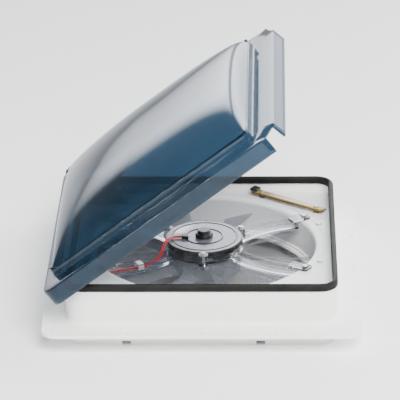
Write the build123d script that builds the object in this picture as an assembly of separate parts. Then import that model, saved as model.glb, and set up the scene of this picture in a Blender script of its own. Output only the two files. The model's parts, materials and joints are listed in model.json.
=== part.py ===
from build123d import *
import os
from math import asin, atan2, cos, degrees, hypot, pi, radians, sin, tan

# Powered roof vent with a clear fan and a tinted lid that a crank lifts.
# Origin: centre of the roof opening, on the roof's surface (underside of the flange).
# +X points away from the lid's hinge, +Y runs along the hinge, +Z is up. Lengths are mm, angles degrees.

# ---- driving dimensions ----
# roof flange, collar and neck
opening_size = 356.0
opening_clearance = 2.0
flange_reach = 33.0
flange_thick = 4.6
flange_corner = 22.0
hole_inset = 7.5
corner_hole_inset = 15.0
hole_pitch = 97.0
hole_radius = 2.3
collar_step = 1.0
collar_wall = 3.0
collar_corner = 22.0
collar_top = 59.0
neck_depth = 25.4
notch_height = 5.4
notch_width = 11.5
notch_places = (-99.0, 77.5)
pillar_y = 61.0
pillar_width = 14.0
pillar_inset = 17.0

# seal pushed over the collar's rim
seal_lip = 3.5
seal_depth = 10.0
seal_over_outside = 1.8
seal_over_inside = 2.6
seal_bulb = 3.0

# fan shroud: deck, bell mouth and throat
deck_top = 40.0
deck_thick = 3.0
throat_wall = 3.0
bell_radius = 5.0
deck_gap = 0.4
groove_inset = 12.5
groove_width = 1.2
groove_depth = 0.8
foot_boss = 4.0

# inner bezel and insect screen
bezel_top = -5.0
bezel_thick = 3.0
bezel_gap = 0.4
screen_lap = 6.5
screen_thick = 0.5
screen_frame_thick = 3.5

# fan and motor
fan_radius = 147.5
tip_clearance = 4.0
hub_bottom = 4.0
hub_wall = 2.5
hub_over_motor = 4.5
blade_count = 10
blade_pitch = 27.0
blade_chord = 34.0
blade_thick = 2.2
shaft_radius = 3.0
motor_radius = 45.0
motor_bottom = 34.5
motor_height = 13.5
motor_gap = 2.5
plate_thick = 2.0
plate_over_motor = 6.5
plate_ring_radii = (25.0, 44.5)
plate_ring_width = 1.8
plate_ring_depth = 0.8
ear_over_motor = 12.0
ear_size = 6.5
ear_angles = (30.0, 150.0, 270.0)
boss_radius = 12.0

# clear motor bracket
bracket_clearance = 1.5
bracket_ring_wall = 6.5
arm_start_angle = 31.5
arm_end_angle = 31.0
arm_bow = 9.0
clip_share = 0.5
arm_width = 17.0
arm_wall = 2.5
arm_depth = 11.0
foot_inset = 7.5
foot_thick = 3.0

# lid
open_angle = 37.3
lid_reach_x = 11.5
lid_reach_y = 21.0
seal_gap = 0.5
lid_wall = 3.0
skirt_wall = 2.5
skirt_drop = 20.5
lid_corner = 18.0
riser_inset_left = 18.0
riser_inset_right = 33.5
riser_inset_y = 29.0
riser_height = 11.0
riser_corner = 8.0
crown_height = 34.0
crown_power_left = 2.1
crown_power_right = 3.3
crown_power_y = 2.3
crown_shares = (0.0, 0.08, 0.2, 0.34, 0.48, 0.62, 0.74, 0.84, 0.92, 0.97)
end_skirt_drop = 19.0
end_skirt_flare = 12.0
notch_x = 12.0
notch_y = 24.0

# hinges
hinge_places = (-120.0, 120.0)
hinge_width = 60.0
hinge_below_skirt = 6.5
knuckle_radius = 3.5
hinge_pin_radius = 1.8
leaf_thick = 2.0
hinge_screw_z = 20.0
rivet_z = 54.0

# lift arm, its track and its worm drive
pivot_inset = 29.0
pivot_above_deck = 6.0
lift_length = 139.0
lift_inset_y = 23.0
lift_thick = 6.0
lift_width = 10.0
lift_pin_radius = 2.5
track_below_riser = 11.0
track_ends = (-44.0, 12.0)
track_screws = (-40.0, 8.0)
track_screw_rise = 5.5
track_play = 1.5
track_rim = 3.0
track_depth = 6.0
roller_radius = 4.0
roller_pin_radius = 2.0
roller_play = 0.5
gear_module = 1.0
gear_teeth = 24
gear_behind_arm = 12.0
gear_face = 3.0
gear_sleeve_radius = 4.0
gearbox_wall = 2.0
worm_pitch_radius = 5.0
worm_turns = 5
backlash = 0.14
crank_shaft_radius = 3.5
knob_radius = 19.0

# controls in the inner bezel
control_inset = 33.0
control_size = 44.0
control_height = 26.0
control_wall = 2.0
speed_knob_radius = 14.0
rocker_angle = 8.0
rocker_length = 20.0
rocker_width = 12.0
rocker_pin_radius = 1.2
rocker_pin_depth = 3.0

# rain sensor on its holder
sensor_start = (67.0, 162.0)
sensor_end = (164.0, 95.0)
sensor_screw_shares = (0.12, 0.9)
sensor_width = 10.0
sensor_above_deck = 6.2
sensor_thick = 1.6
holder_thick = 2.0

# motor leads, in plan from the fan's centre and in height from the deck's top
lead_radius = 0.95
lead_spacing = 2.6
lead_exit_angle = 31.0
lead_exit_drop = 7.8
lead_route = [(-30.0, -7.0, 12.2), (-39.0, -7.0, 12.2), (-50.5, -19.5, 12.3), (-53.5, -31.5, 7.5),
              (-57.2, -42.9, 0.5), (-64.8, -50.2, -4.4), (-80.3, -60.6, -6.4), (-94.5, -68.0, -6.7),
              (-109.6, -73.8, -6.5), (-123.7, -77.5, -7.0), (-138.5, -82.5, -8.8), (-143.0, -93.5, -9.4),
              (-142.0, -105.5, -8.4), (-139.6, -117.0, -7.4), (-137.6, -126.0, -7.6), (-137.3, -132.2, -8.4),
              (-137.3, -132.2, -14.0)]

# fits and fasteners
run_fit = 0.05
screw_radius = 1.75
screw_clearance = 0.05
screw_head_radius = 3.8
screw_head_height = 2.2

# ---- worked out from the driving dimensions ----
neck_outer = opening_size - 2 * opening_clearance
neck_inner = neck_outer - 2 * collar_wall
collar_outer = neck_outer + 2 * collar_step
collar_inner = collar_outer - 2 * collar_wall
flange_size = collar_outer + 2 * flange_reach
seal_top = collar_top + seal_lip
deck_bottom = deck_top - deck_thick
deck_screw_x = collar_inner / 2 - pillar_inset
pillar_places = [(sx * deck_screw_x, sy * pillar_y) for sx in (-1, 1) for sy in (-1, 1)]
throat_radius = fan_radius + tip_clearance
groove_radius = throat_radius + groove_inset
foot_radius = throat_radius + foot_inset
bezel_bottom = bezel_top - bezel_thick
bezel_bore = throat_radius - 3.5
screen_frame_radius = throat_radius + screen_lap
screen_radius = throat_radius - screen_lap

hub_radius = motor_radius + hub_over_motor
hub_top = motor_bottom - motor_gap
plate_bottom = motor_bottom + motor_height
plate_top = plate_bottom + plate_thick
plate_radius = motor_radius + plate_over_motor
ear_radius = motor_radius + ear_over_motor
bracket_bore = motor_radius + bracket_clearance
bracket_ring_radius = bracket_bore + bracket_ring_wall
bracket_ring_bottom = motor_bottom - 1.0
arm_start_radius = bracket_ring_radius - 1.4
arm_end_radius = throat_radius - 2.1
arm_start_turn = radians(arm_start_angle)
arm_end_turn = radians(arm_end_angle)
arm_span_start = (arm_start_radius * cos(arm_start_turn), arm_start_radius * sin(arm_start_turn))
arm_span_end = (arm_end_radius * cos(arm_end_turn), arm_end_radius * sin(arm_end_turn))
arm_top = deck_top
arm_bottom = arm_top - arm_depth
foot_angles = (arm_end_angle, 180 - arm_end_angle, 180 + arm_end_angle, -arm_end_angle)

lid_length = collar_outer + 2 * lid_reach_x
lid_width = collar_outer + 2 * lid_reach_y
lid_under = seal_top + seal_gap
lid_top = lid_under + lid_wall
skirt_bottom = lid_under - skirt_drop
riser_left = riser_inset_left - lid_length / 2
riser_right = lid_length / 2 - riser_inset_right
riser_half_width = lid_width / 2 - riser_inset_y
riser_inner_y = riser_half_width - lid_wall
riser_top = lid_top + riser_height
skirt_face = skirt_wall - lid_length / 2
hinge_x = skirt_face + leaf_thick
hinge_z = skirt_bottom - hinge_below_skirt

pivot_x = pivot_inset - collar_inner / 2
pivot_z = deck_top + pivot_above_deck
lift_y = collar_inner / 2 - lift_inset_y
track_z = riser_top - track_below_riser
track_low = lift_y + lift_thick / 2 + track_play
gear_y = lift_y - gear_behind_arm
gear_radius = gear_module * gear_teeth / 2
gearbox_front = gear_y - worm_pitch_radius - gear_module - 0.5
gearbox_back = gear_y + worm_pitch_radius + gear_module + 0.5
worm_lead = pi * gear_module
crank_x = pivot_x + gear_radius + worm_pitch_radius
knob_top = bezel_bottom - 0.8
tooth_half = worm_lead / 4 - backlash

control_x = neck_inner / 2 - control_inset
control_y = -control_x
rocker_z = bezel_bottom + rocker_pin_depth
sensor_bottom = deck_top + sensor_above_deck
lead_exit_z = deck_top - lead_exit_drop
lead_points = [(x, y, deck_top + height) for x, y, height in lead_route]

# The lift arm's two end angles follow from its roller lying in the lid's track.
lift_closed = degrees(asin((track_z - pivot_z) / lift_length))
pivot_across = (pivot_x - hinge_x) * sin(radians(open_angle))
pivot_along = (hinge_z - pivot_z) * cos(radians(open_angle))
lift_open = open_angle + degrees(asin((pivot_across + pivot_along + track_z - hinge_z) / lift_length))
lift_ratio = (lift_open - lift_closed) / open_angle

os.makedirs("parts", exist_ok=True)


# ---- helpers ----
def save(name, shape):
    """Writes one node; a list becomes a group of separate solids."""
    solids = shape if isinstance(shape, list) else [shape]
    group = Compound(children=[solid for piece in solids for solid in piece.solids()])
    group.label = name
    export_step(group, f"parts/{name}.step")


def slab(size_x, size_y, low, high, corner=0.0, x=0.0, y=0.0):
    outline = RectangleRounded(size_x, size_y, corner) if corner else Rectangle(size_x, size_y)
    return Pos(x, y, low) * extrude(outline, high - low)


def block(x_range, y_range, z_range):
    ranges = (x_range, y_range, z_range)
    centre = [(low + high) / 2 for low, high in ranges]
    size = [high - low for low, high in ranges]
    return Pos(*centre) * Box(*size)


def disc(radius, low, high, x=0.0, y=0.0):
    return Pos(x, y, (low + high) / 2) * Cylinder(radius, high - low)


def ring(outer, inner, low, high, x=0.0, y=0.0):
    return disc(outer, low, high, x, y) - disc(inner, low - 1, high + 1, x, y)


def rod(radius, y_low, y_high, x, z):
    """A round bar along Y."""
    return Pos(x, (y_low + y_high) / 2, z) * Rot(90, 0, 0) * Cylinder(radius, y_high - y_low)


def polar(radius, angle):
    return radius * cos(radians(angle)), radius * sin(radians(angle))


def screw(x, y, seat, length, head=screw_head_radius, shank=screw_radius, up=1):
    """A pan-head screw whose head sits at the seat and whose shank points the other way from up."""
    tip = seat - up * length
    crown = seat + up * screw_head_height
    cap = disc(head, min(seat, crown), max(seat, crown), x, y)
    rim = cap.edges().sort_by(Axis.Z)[-1 if up > 0 else 0]
    cap = fillet(rim, screw_head_height * 0.45)
    cross = Box(head, 0.8, 1.2) + Box(0.8, head, 1.2)
    cap -= Pos(x, y, crown) * cross
    return cap + disc(shank, min(tip, seat), max(tip, seat), x, y)


def screw_hole(x, y, low, high, shank=screw_radius):
    return disc(shank + screw_clearance, low, high, x, y)


def opened(shape):
    """Turns a piece of the closed lid to the open rest pose."""
    return Pos(hinge_x, 0, hinge_z) * Rot(0, -open_angle, 0) * Pos(-hinge_x, 0, -hinge_z) * shape


# ---- roof flange, collar and neck, one moulding ----
def make_roof_flange():
    plate = slab(flange_size, flange_size, 0, flange_thick, flange_corner)
    plate = fillet(plate.faces().sort_by(Axis.Z)[-1].edges(), 1.2)
    collar = slab(collar_outer, collar_outer, 0, collar_top, collar_corner)
    foot = slab(collar_outer + 8, collar_outer + 8, 0, flange_thick + 4, collar_corner + 4)
    foot = chamfer(foot.faces().sort_by(Axis.Z)[-1].edges(), 3.9)
    neck = slab(neck_outer, neck_outer, -neck_depth, 0, collar_corner - 1)
    body = plate + foot + collar + neck
    body -= slab(collar_inner, collar_inner, 0, collar_top + 1, collar_corner - collar_wall)
    body -= slab(neck_inner, neck_inner, -neck_depth - 1, 0, collar_corner - 1 - collar_wall)
    for x, y in pillar_places:
        side = 1 if x > 0 else -1
        inner_face = abs(x) - pillar_width / 2
        span = sorted((side * inner_face, side * (collar_inner / 2 + 0.5)))
        body += block(span, (y - pillar_width / 2, y + pillar_width / 2), (bezel_top, deck_bottom))
        body -= screw_hole(x, y, deck_bottom - 14, deck_bottom + 1)
        body -= screw_hole(x, y, bezel_top - 1, bezel_top + 12)
    for x, y in flange_holes():
        body -= disc(hole_radius, -1, flange_thick + 1, x, y)
    for x in notch_places:
        cut = (-neck_outer / 2 - 1, -neck_inner / 2 + 1)
        across = (x - notch_width / 2, x + notch_width / 2)
        body -= block(across, cut, (-neck_depth - 1, -neck_depth + notch_height))
    for y in hinge_places:
        for offset in (-1, 1):
            body -= hinge_screw_hole(y + offset * hinge_width / 4)
    return body


def flange_holes():
    edge = flange_size / 2 - hole_inset
    corner = flange_size / 2 - corner_hole_inset
    places = [(sx * corner, sy * corner) for sx in (-1, 1) for sy in (-1, 1)]
    for side in (-1, 1):
        for step in (-1, 0, 1):
            places.append((side * edge, step * hole_pitch))
            places.append((step * hole_pitch, side * edge))
    return places


def hinge_screw_hole(y):
    wall_x = -collar_outer / 2
    return Pos(wall_x, y, hinge_screw_z) * Rot(0, 90, 0) * Cylinder(screw_radius + screw_clearance, 14)


def make_collar_seal():
    outer = collar_outer + 2 * seal_over_outside
    inner = collar_inner - 2 * seal_over_inside
    low = seal_top - seal_depth
    inner_corner = collar_corner - collar_wall
    body = slab(outer, outer, low, seal_top, collar_corner + seal_over_outside)
    body = fillet(body.faces().sort_by(Axis.Z)[-1].edges(), seal_bulb)
    body -= slab(inner, inner, low - 1, seal_top + 1, inner_corner - seal_over_inside)
    slot = slab(collar_outer, collar_outer, low - 1, collar_top, collar_corner)
    slot -= slab(collar_inner, collar_inner, low - 2, collar_top + 1, inner_corner)
    return body - slot


# ---- fan shroud ----
def make_fan_shroud():
    size = collar_inner - 2 * deck_gap
    flare = throat_radius + bell_radius
    deck = slab(size, size, deck_bottom, deck_top, collar_corner - collar_wall - deck_gap)
    deck -= disc(flare, deck_bottom - 1, deck_top + 1)
    low = bezel_top
    turn = deck_top - bell_radius
    outer = throat_radius + throat_wall
    mid = bell_radius * sin(radians(45))
    mid_out = (bell_radius - throat_wall) * sin(radians(45))
    with BuildSketch(Plane.XZ) as section:
        with BuildLine():
            Polyline((outer, turn), (outer, low), (throat_radius, low), (throat_radius, turn))
            ThreePointArc((throat_radius, turn), (flare - mid, turn + mid), (flare, deck_top))
            Line((flare, deck_top), (flare, deck_top - throat_wall))
            ThreePointArc((flare, deck_top - throat_wall), (flare - mid_out, turn + mid_out), (outer, turn))
        make_face()
    body = deck + revolve(section.sketch, Axis.Z)
    half_groove = groove_width / 2
    groove_low = deck_top - groove_depth
    body -= ring(groove_radius + half_groove, groove_radius - half_groove, groove_low, deck_top + 1)
    for angle in foot_angles:
        x, y = polar(foot_radius, angle)
        body += disc(5.0, deck_bottom - foot_boss, deck_bottom, x, y)
        body -= screw_hole(x, y, deck_bottom - foot_boss - 1, deck_top + 1)
    for x, y in pillar_places:
        body -= screw_hole(x, y, deck_bottom - 1, deck_top + 1)
    for x, y in sensor_posts():
        body -= screw_hole(x, y, deck_bottom - 1, deck_top + 1)
    body -= block(*gearbox_hull(0.5))
    for x, y in gearbox_screws():
        body -= screw_hole(x, y, deck_bottom - 1, deck_top + 1)
    lead_x, lead_y = polar(throat_radius + throat_wall / 2, 180 + lead_exit_angle)
    body -= Pos(lead_x, lead_y, lead_exit_z) * Rot(0, 90, lead_exit_angle) * Cylinder(4.0, 16)
    return body


# ---- clear bracket that holds the motor ----
def arc_band(start, end, bow, width):
    """A flat band along the arc from start to end that bows sideways by bow."""
    length = hypot(end[0] - start[0], end[1] - start[1])
    radius = (length ** 2 / 4 + bow ** 2) / (2 * bow)
    along = ((end[0] - start[0]) / length, (end[1] - start[1]) / length)
    across = (-along[1], along[0])
    middle = ((start[0] + end[0]) / 2 + across[0] * bow, (start[1] + end[1]) / 2 + across[1] * bow)
    centre = (middle[0] - across[0] * radius, middle[1] - across[1] * radius)

    def shifted(point, offset):
        scale = (radius + offset) / radius
        return tuple(c + (p - c) * scale for p, c in zip(point, centre))

    points = [[shifted(point, side * width / 2) for point in (start, middle, end)] for side in (-1, 1)]
    with BuildSketch() as band:
        with BuildLine():
            ThreePointArc(*points[0])
            Line(points[0][2], points[1][2])
            ThreePointArc(points[1][2], points[1][1], points[1][0])
            Line(points[1][0], points[0][0])
        make_face()
    return band.sketch


def arm_centre(share):
    """A point on an arm's centreline and the line's direction there, by share of the arm's length along X."""
    run = [end - start for start, end in zip(arm_span_start, arm_span_end)]
    length = hypot(*run)
    radius = (length ** 2 / 4 + arm_bow ** 2) / (2 * arm_bow)
    along = (run[0] / length, run[1] / length)
    centre_x = (arm_span_start[0] + arm_span_end[0]) / 2 + along[1] * (radius - arm_bow)
    centre_y = (arm_span_start[1] + arm_span_end[1]) / 2 - along[0] * (radius - arm_bow)
    x = arm_span_start[0] + share * (arm_span_end[0] - arm_span_start[0])
    y = centre_y + (radius ** 2 - (x - centre_x) ** 2) ** 0.5
    return x, y, degrees(atan2(centre_x - x, y - centre_y))


def bracket_arm():
    """One arm at its angle above +X: a channel, open upwards, and its foot on the deck."""
    outside = arc_band(arm_span_start, arm_span_end, arm_bow, arm_width)
    inside = arc_band(arm_span_start, arm_span_end, arm_bow, arm_width - 2 * arm_wall)
    channel = Pos(0, 0, arm_bottom) * extrude(outside, arm_depth)
    channel -= Pos(0, 0, arm_bottom + arm_wall) * extrude(inside, arm_top)
    channel &= ring(throat_radius - 1.5, bracket_ring_radius - 0.5, arm_bottom, arm_top)
    inner = throat_radius - 14
    outer = foot_radius + 7
    foot = slab(outer - inner, arm_width, deck_top, deck_top + foot_thick, 3.0, (outer + inner) / 2)
    foot = Rot(0, 0, arm_end_angle) * foot
    x, y = polar(foot_radius, arm_end_angle)
    return channel + foot - screw_hole(x, y, deck_top - 1, deck_top + foot_thick + 1)


def make_motor_bracket():
    low = bracket_ring_bottom
    body = ring(bracket_ring_radius, bracket_bore, low, plate_bottom)
    for angle in ear_angles:
        x, y = polar(ear_radius, angle)
        body += disc(ear_size, low, plate_bottom, x, y)
        body -= screw_hole(x, y, low - 1, plate_bottom + 1, 1.5)
    body -= disc(bracket_bore, low - 1, plate_bottom + 1)
    arm = bracket_arm()
    for half in (arm, mirror(arm, Plane.YZ)):
        body += half
        body += mirror(half, Plane.XZ)
    return body


# ---- motor ----
def make_motor_can():
    can = disc(motor_radius, motor_bottom, plate_bottom)
    can = fillet(can.edges().sort_by(Axis.Z)[0], 2.0)
    can -= disc(motor_radius - 2, motor_bottom + 2, plate_bottom + 1)
    can += disc(8, motor_bottom, motor_bottom + 3.5)
    return can - disc(5.5, motor_bottom - 1, plate_bottom)


def make_motor_plate():
    body = disc(plate_radius, plate_bottom, plate_top)
    for angle in ear_angles:
        x, y = polar(ear_radius, angle)
        body += disc(ear_size, plate_bottom, plate_top, x, y)
    for angle in ear_angles:
        x, y = polar(ear_radius, angle)
        body -= screw_hole(x, y, plate_bottom - 1, plate_top + 1, 1.5)
    for radius in plate_ring_radii:
        half = plate_ring_width / 2
        body -= ring(radius + half, radius - half, plate_top - plate_ring_depth, plate_top + 1)
    return body


def make_plate_rings():
    half = plate_ring_width / 2
    low = plate_top - plate_ring_depth
    return [ring(radius + half, radius - half, low, plate_top) for radius in plate_ring_radii]


def make_motor_boss():
    body = disc(boss_radius, plate_top, plate_top + 6)
    body = chamfer(body.edges().sort_by(Axis.Z)[-1], 1.0)
    body += disc(boss_radius - 3, plate_top + 5, plate_top + 9)
    return body


# ---- fan ----
def make_fan():
    hub = disc(hub_radius, hub_bottom, hub_top)
    hub = fillet(hub.edges().sort_by(Axis.Z)[-1], 2.0)
    hub -= disc(hub_radius - hub_wall, hub_bottom - 1, hub_top - hub_wall)
    hub += disc(9, hub_bottom + 2, hub_top - 1)
    for step in range(blade_count):
        rib = block((8, hub_radius - 1), (-1, 1), (hub_bottom + 4, hub_top - 1))
        hub += Rot(0, 0, (step + 0.5) * 360 / blade_count) * rib
    middle = (hub_bottom + hub_top - 4) / 2
    sections = []
    for radius, chord, pitch in ((hub_radius - 1, 0.72, 1.25), (fan_radius + 3, 1.35, 0.75)):
        outline = Rot(0, 0, -blade_pitch * pitch) * RectangleRounded(blade_chord * chord, blade_thick, 1.0)
        place = Plane(origin=(radius, 0, middle), x_dir=(0, 1, 0), z_dir=(1, 0, 0))
        sections.append(place * outline)
    blade = loft(sections) & disc(fan_radius, hub_bottom - 5, hub_top + 5)
    blade -= disc(hub_radius - hub_wall / 2, hub_bottom - 5, hub_top + 5)
    for step in range(blade_count):
        hub += Rot(0, 0, step * 360 / blade_count) * blade
    return hub - disc(shaft_radius, hub_bottom - 1, hub_top + 1)


# ---- motor leads ----
def offset_route(points, distance):
    """The same route moved sideways in plan, each run staying parallel to the first route's run."""
    normals = []
    for before, after in zip(points, points[1:]):
        step = (after[0] - before[0], after[1] - before[1])
        length = hypot(*step)
        normals.append((step[1] / length, -step[0] / length) if length > 0.01 else normals[-1])
    moved = []
    for index, point in enumerate(points):
        first = normals[max(index - 1, 0)]
        second = normals[min(index, len(normals) - 1)]
        total = (first[0] + second[0], first[1] + second[1])
        scale = 2 * distance / (total[0] ** 2 + total[1] ** 2)
        moved.append((point[0] + total[0] * scale, point[1] + total[1] * scale, point[2]))
    return moved


def lead_tube(points, name):
    vectors = [Vector(*point) for point in points]
    runs = [after - before for before, after in zip(vectors, vectors[1:])]
    radii = []
    for before, after in zip(runs, runs[1:]):
        turn = before.get_angle(after)
        radii.append(0.45 * min(before.length, after.length) / tan(radians(turn / 2)))
    print(name, "bend radii", [round(radius, 1) for radius in radii])
    path = FilletPolyline(*points, radius=radii)
    tube = sweep(Plane(origin=path @ 0, z_dir=path % 0) * Circle(lead_radius), path=path)
    full = pi * lead_radius ** 2 * path.length
    print(name, "volume over section times length", round(tube.volume / full, 4))
    return tube


def make_lead_clip():
    """A white clip across the front left arm's channel, bridging both leads."""
    x, y, angle = arm_centre(clip_share)
    half = arm_width / 2 - arm_wall - 0.2
    low = arm_bottom + arm_wall
    body = block((-4, 4), (-half, half), (low, arm_top + 0.5))
    body -= block((-5, 5), (1.2 - half, half - 1.2), (low - 1, arm_top - 1.5))
    return Pos(-x, -y, 0) * Rot(0, 0, angle) * body


# ---- rain sensor on its holder above the deck ----
def along_sensor(shape):
    """Places a piece drawn along X from the sensor's start."""
    angle = degrees(atan2(sensor_end[1] - sensor_start[1], sensor_end[0] - sensor_start[0]))
    return Pos(*sensor_start, 0) * Rot(0, 0, angle) * shape


def sensor_length():
    return hypot(sensor_end[0] - sensor_start[0], sensor_end[1] - sensor_start[1])


def sensor_posts():
    places = []
    for share in sensor_screw_shares:
        x = sensor_start[0] + share * (sensor_end[0] - sensor_start[0])
        y = sensor_start[1] + share * (sensor_end[1] - sensor_start[1])
        places.append((x, y))
    return places


def make_sensor_board():
    length = sensor_length()
    half = sensor_width / 2
    body = block((0, length - half), (-half, half), (sensor_bottom, sensor_bottom + sensor_thick))
    body += disc(half, sensor_bottom, sensor_bottom + sensor_thick, length - half)
    body = along_sensor(body)
    for x, y in sensor_posts():
        body -= screw_hole(x, y, sensor_bottom - 1, sensor_bottom + 3)
    return body


def make_sensor_holder():
    half = sensor_width / 2 + 1
    strip = block((-1, sensor_length() + 1), (-half, half), (sensor_bottom - holder_thick, sensor_bottom))
    body = along_sensor(strip)
    for x, y in sensor_posts():
        body += disc(4.5, deck_top, sensor_bottom, x, y)
        body -= screw_hole(x, y, deck_top - 1, sensor_bottom + 1)
    return body


def make_sensor_plug():
    """The moulded plug at the board's left end."""
    low = sensor_bottom + sensor_thick
    return along_sensor(block((-3, 8), (-sensor_width / 2 - 1, sensor_width / 2 + 1), (low, low + 4)))


# ---- inner bezel and screen ----
def make_bezel():
    size = neck_inner - 2 * bezel_gap
    body = slab(size, size, bezel_bottom, bezel_top, collar_corner - 1 - collar_wall - bezel_gap)
    body -= disc(bezel_bore, bezel_bottom - 1, bezel_top + 1)
    for x, y in pillar_places:
        body -= screw_hole(x, y, bezel_bottom - 1, bezel_top + 1)
    for x, y in screen_screws() + box_screws(1) + box_screws(-1):
        body -= screw_hole(x, y, bezel_bottom - 1, bezel_top + 1)
    body -= disc(crank_shaft_radius + 0.4, bezel_bottom - 1, bezel_top + 1, crank_x, gear_y)
    body -= disc(3.4, bezel_bottom - 1, bezel_top + 1, control_x, control_y)
    window = (rocker_length / 2 + 1.2, rocker_width / 2 + 1.2)
    place = ((-control_x - window[0], -control_x + window[0]), (control_y - window[1], control_y + window[1]))
    return body - block(*place, (bezel_bottom - 1, bezel_top + 1))


def screen_screws():
    return [polar((screen_frame_radius + bezel_bore) / 2, 45 + 90 * step) for step in range(4)]


def make_screen_frame():
    low = bezel_bottom - screen_frame_thick
    body = ring(screen_frame_radius, screen_radius + 0.2, low, bezel_bottom)
    body += ring(screen_radius + 1, screen_radius - 2, low, low + 1.4)
    for x, y in screen_screws():
        body -= screw_hole(x, y, low - 1, bezel_bottom + 1)
    return body


# ---- control boxes over the bezel's front corners ----
def box_screws(side):
    reach = control_size / 2 - 5
    return [(side * control_x - reach, control_y + reach), (side * control_x + reach, control_y - reach)]


def make_control_box(side):
    x = side * control_x
    top = bezel_top + control_height
    body = slab(control_size, control_size, bezel_top, top, 5.0, x, control_y)
    inner = control_size - 2 * control_wall
    body -= slab(inner, inner, bezel_top - 1, top - control_wall, 3.0, x, control_y)
    for px, py in box_screws(side):
        body += disc(4.0, bezel_top, bezel_top + 10, px, py)
        body -= screw_hole(px, py, bezel_top - 1, bezel_top + 9)
    return body


def make_control_board():
    inner = control_size - 2 * control_wall - 1.0
    low = bezel_top + 11
    board = slab(inner, inner, low, low + 1.6, 2.0, control_x, control_y)
    for index, (px, py) in enumerate(((-9, 9), (9, 9), (9, -9))):
        board += disc(3.0 + index, low + 1.6, low + 7, control_x + px, control_y + py)
    return board


def make_potentiometer():
    body = slab(16, 16, bezel_top, bezel_top + 11, 1.0, control_x, control_y)
    return body - disc(3.0 + run_fit, bezel_top - 1, bezel_top + 8, control_x, control_y)


def make_speed_knob():
    top = bezel_bottom - 0.6
    knob = disc(speed_knob_radius, top - 10, top, control_x, control_y)
    knob = fillet(knob.edges().sort_by(Axis.Z)[0], 1.5)
    for step in range(12):
        x, y = polar(speed_knob_radius + 0.8, step * 30)
        knob -= disc(1.6, top - 11, top - 2, control_x + x, control_y + y)
    mark = (control_y, control_y + speed_knob_radius)
    knob -= block((control_x - 0.7, control_x + 0.7), mark, (top - 11, top - 9.2))
    return knob + disc(3.0, top - 1, bezel_top + 7.5, control_x, control_y)


def make_switch_body():
    x = -control_x
    half_x = rocker_length / 2 + 1.0
    half_y = rocker_width / 2 + 1.0
    top = bezel_top + 14

    def around(margin_x, margin_y, low, high):
        x_range = (x - half_x - margin_x, x + half_x + margin_x)
        y_range = (control_y - half_y - margin_y, control_y + half_y + margin_y)
        return block(x_range, y_range, (low, high))

    body = around(0, 0, bezel_bottom - 1.5, top)
    body += around(2.5, 2.0, bezel_bottom - 1.5, bezel_bottom)
    body -= around(-0.6, -0.6, bezel_bottom - 2, top - 2)
    return body - rod(rocker_pin_radius, control_y - half_y - 3, control_y + half_y + 3, x, rocker_z)


def make_rocker():
    """A three-position rocker whose two lower faces meet at a shallow ridge."""
    half_x = rocker_length / 2 - 1.2
    half_y = rocker_width / 2 - 0.4
    low = bezel_bottom - 2.0
    ridge = low - half_x * tan(radians(rocker_angle))
    top = bezel_bottom + 5.0
    with BuildSketch(Plane.XZ) as section:
        Polygon((-half_x, top), (half_x, top), (half_x, low), (0, ridge), (-half_x, low), align=None)
    body = Pos(-control_x, control_y + half_y, 0) * extrude(section.sketch, 2 * half_y)
    reach = half_y + 1
    return body - rod(rocker_pin_radius + run_fit, control_y - reach, control_y + reach, -control_x, rocker_z)


def make_terminals():
    x = -control_x
    low = bezel_top + 14
    body = block((x - 12, x + 12), (control_y - 5, control_y + 5), (low, low + 7))
    for step in (-1, 0, 1):
        body -= disc(2.2, low + 4, low + 8, x + step * 7.5, control_y)
    return body


# ---- hinges: the fixed leaf bolts to the collar, the moving leaf is riveted to the lid ----
def knuckle(y_low, y_high):
    return rod(knuckle_radius, y_low, y_high, hinge_x, hinge_z)


def make_hinge_bracket(y):
    half = hinge_width / 2
    wall_x = -collar_outer / 2
    plate = block((wall_x - leaf_thick, wall_x), (y - half, y + half), (flange_thick + 5, 30))
    shelf = block((hinge_x - knuckle_radius, wall_x), (y - half, y + half), (28, 30))
    body = plate + shelf
    for side in (-1, 1):
        low, high = sorted((y + side * half, y + side * half / 3))
        post = block((hinge_x - knuckle_radius, hinge_x + knuckle_radius), (low, high), (28, hinge_z))
        body += post + knuckle(low, high)
    for offset in (-1, 1):
        body -= hinge_screw_hole(y + offset * hinge_width / 4)
    return body - rod(hinge_pin_radius, y - half - 1, y + half + 1, hinge_x, hinge_z)


def make_hinge_screws(y):
    screws = []
    for offset in (-1, 1):
        upright = screw(0, 0, 0, 9)
        seat = -collar_outer / 2 - leaf_thick
        screws.append(Pos(seat, y + offset * hinge_width / 4, hinge_screw_z) * Rot(0, -90, 0) * upright)
    return screws


def make_hinge_pin(y):
    half = hinge_width / 2
    pin = rod(hinge_pin_radius, y - half - 0.5, y + half, hinge_x, hinge_z)
    return pin + rod(hinge_pin_radius + 1.2, y - half - 2.2, y - half, hinge_x, hinge_z)


def make_lid_leaf(y):
    """The moving leaf in the closed pose: a plate inside the lid's left skirt and one knuckle below it."""
    half = hinge_width / 6 - 0.5
    plate_x = (skirt_face, skirt_face + leaf_thick)
    plate = block(plate_x, (y - hinge_width / 3, y + hinge_width / 3), (skirt_bottom + 1, lid_under - 3))
    neck = block(plate_x, (y - half, y + half), (hinge_z, skirt_bottom + 2))
    body = plate + neck + knuckle(y - half, y + half)
    for offset in (-1, 1):
        body -= leaf_rivet_hole(y + offset * hinge_width / 5)
    return body - rod(hinge_pin_radius + run_fit, y - half - 1, y + half + 1, hinge_x, hinge_z)


def leaf_rivet_hole(y):
    return Pos(skirt_face, y, rivet_z) * Rot(0, 90, 0) * Cylinder(1.55, 12)


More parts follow.
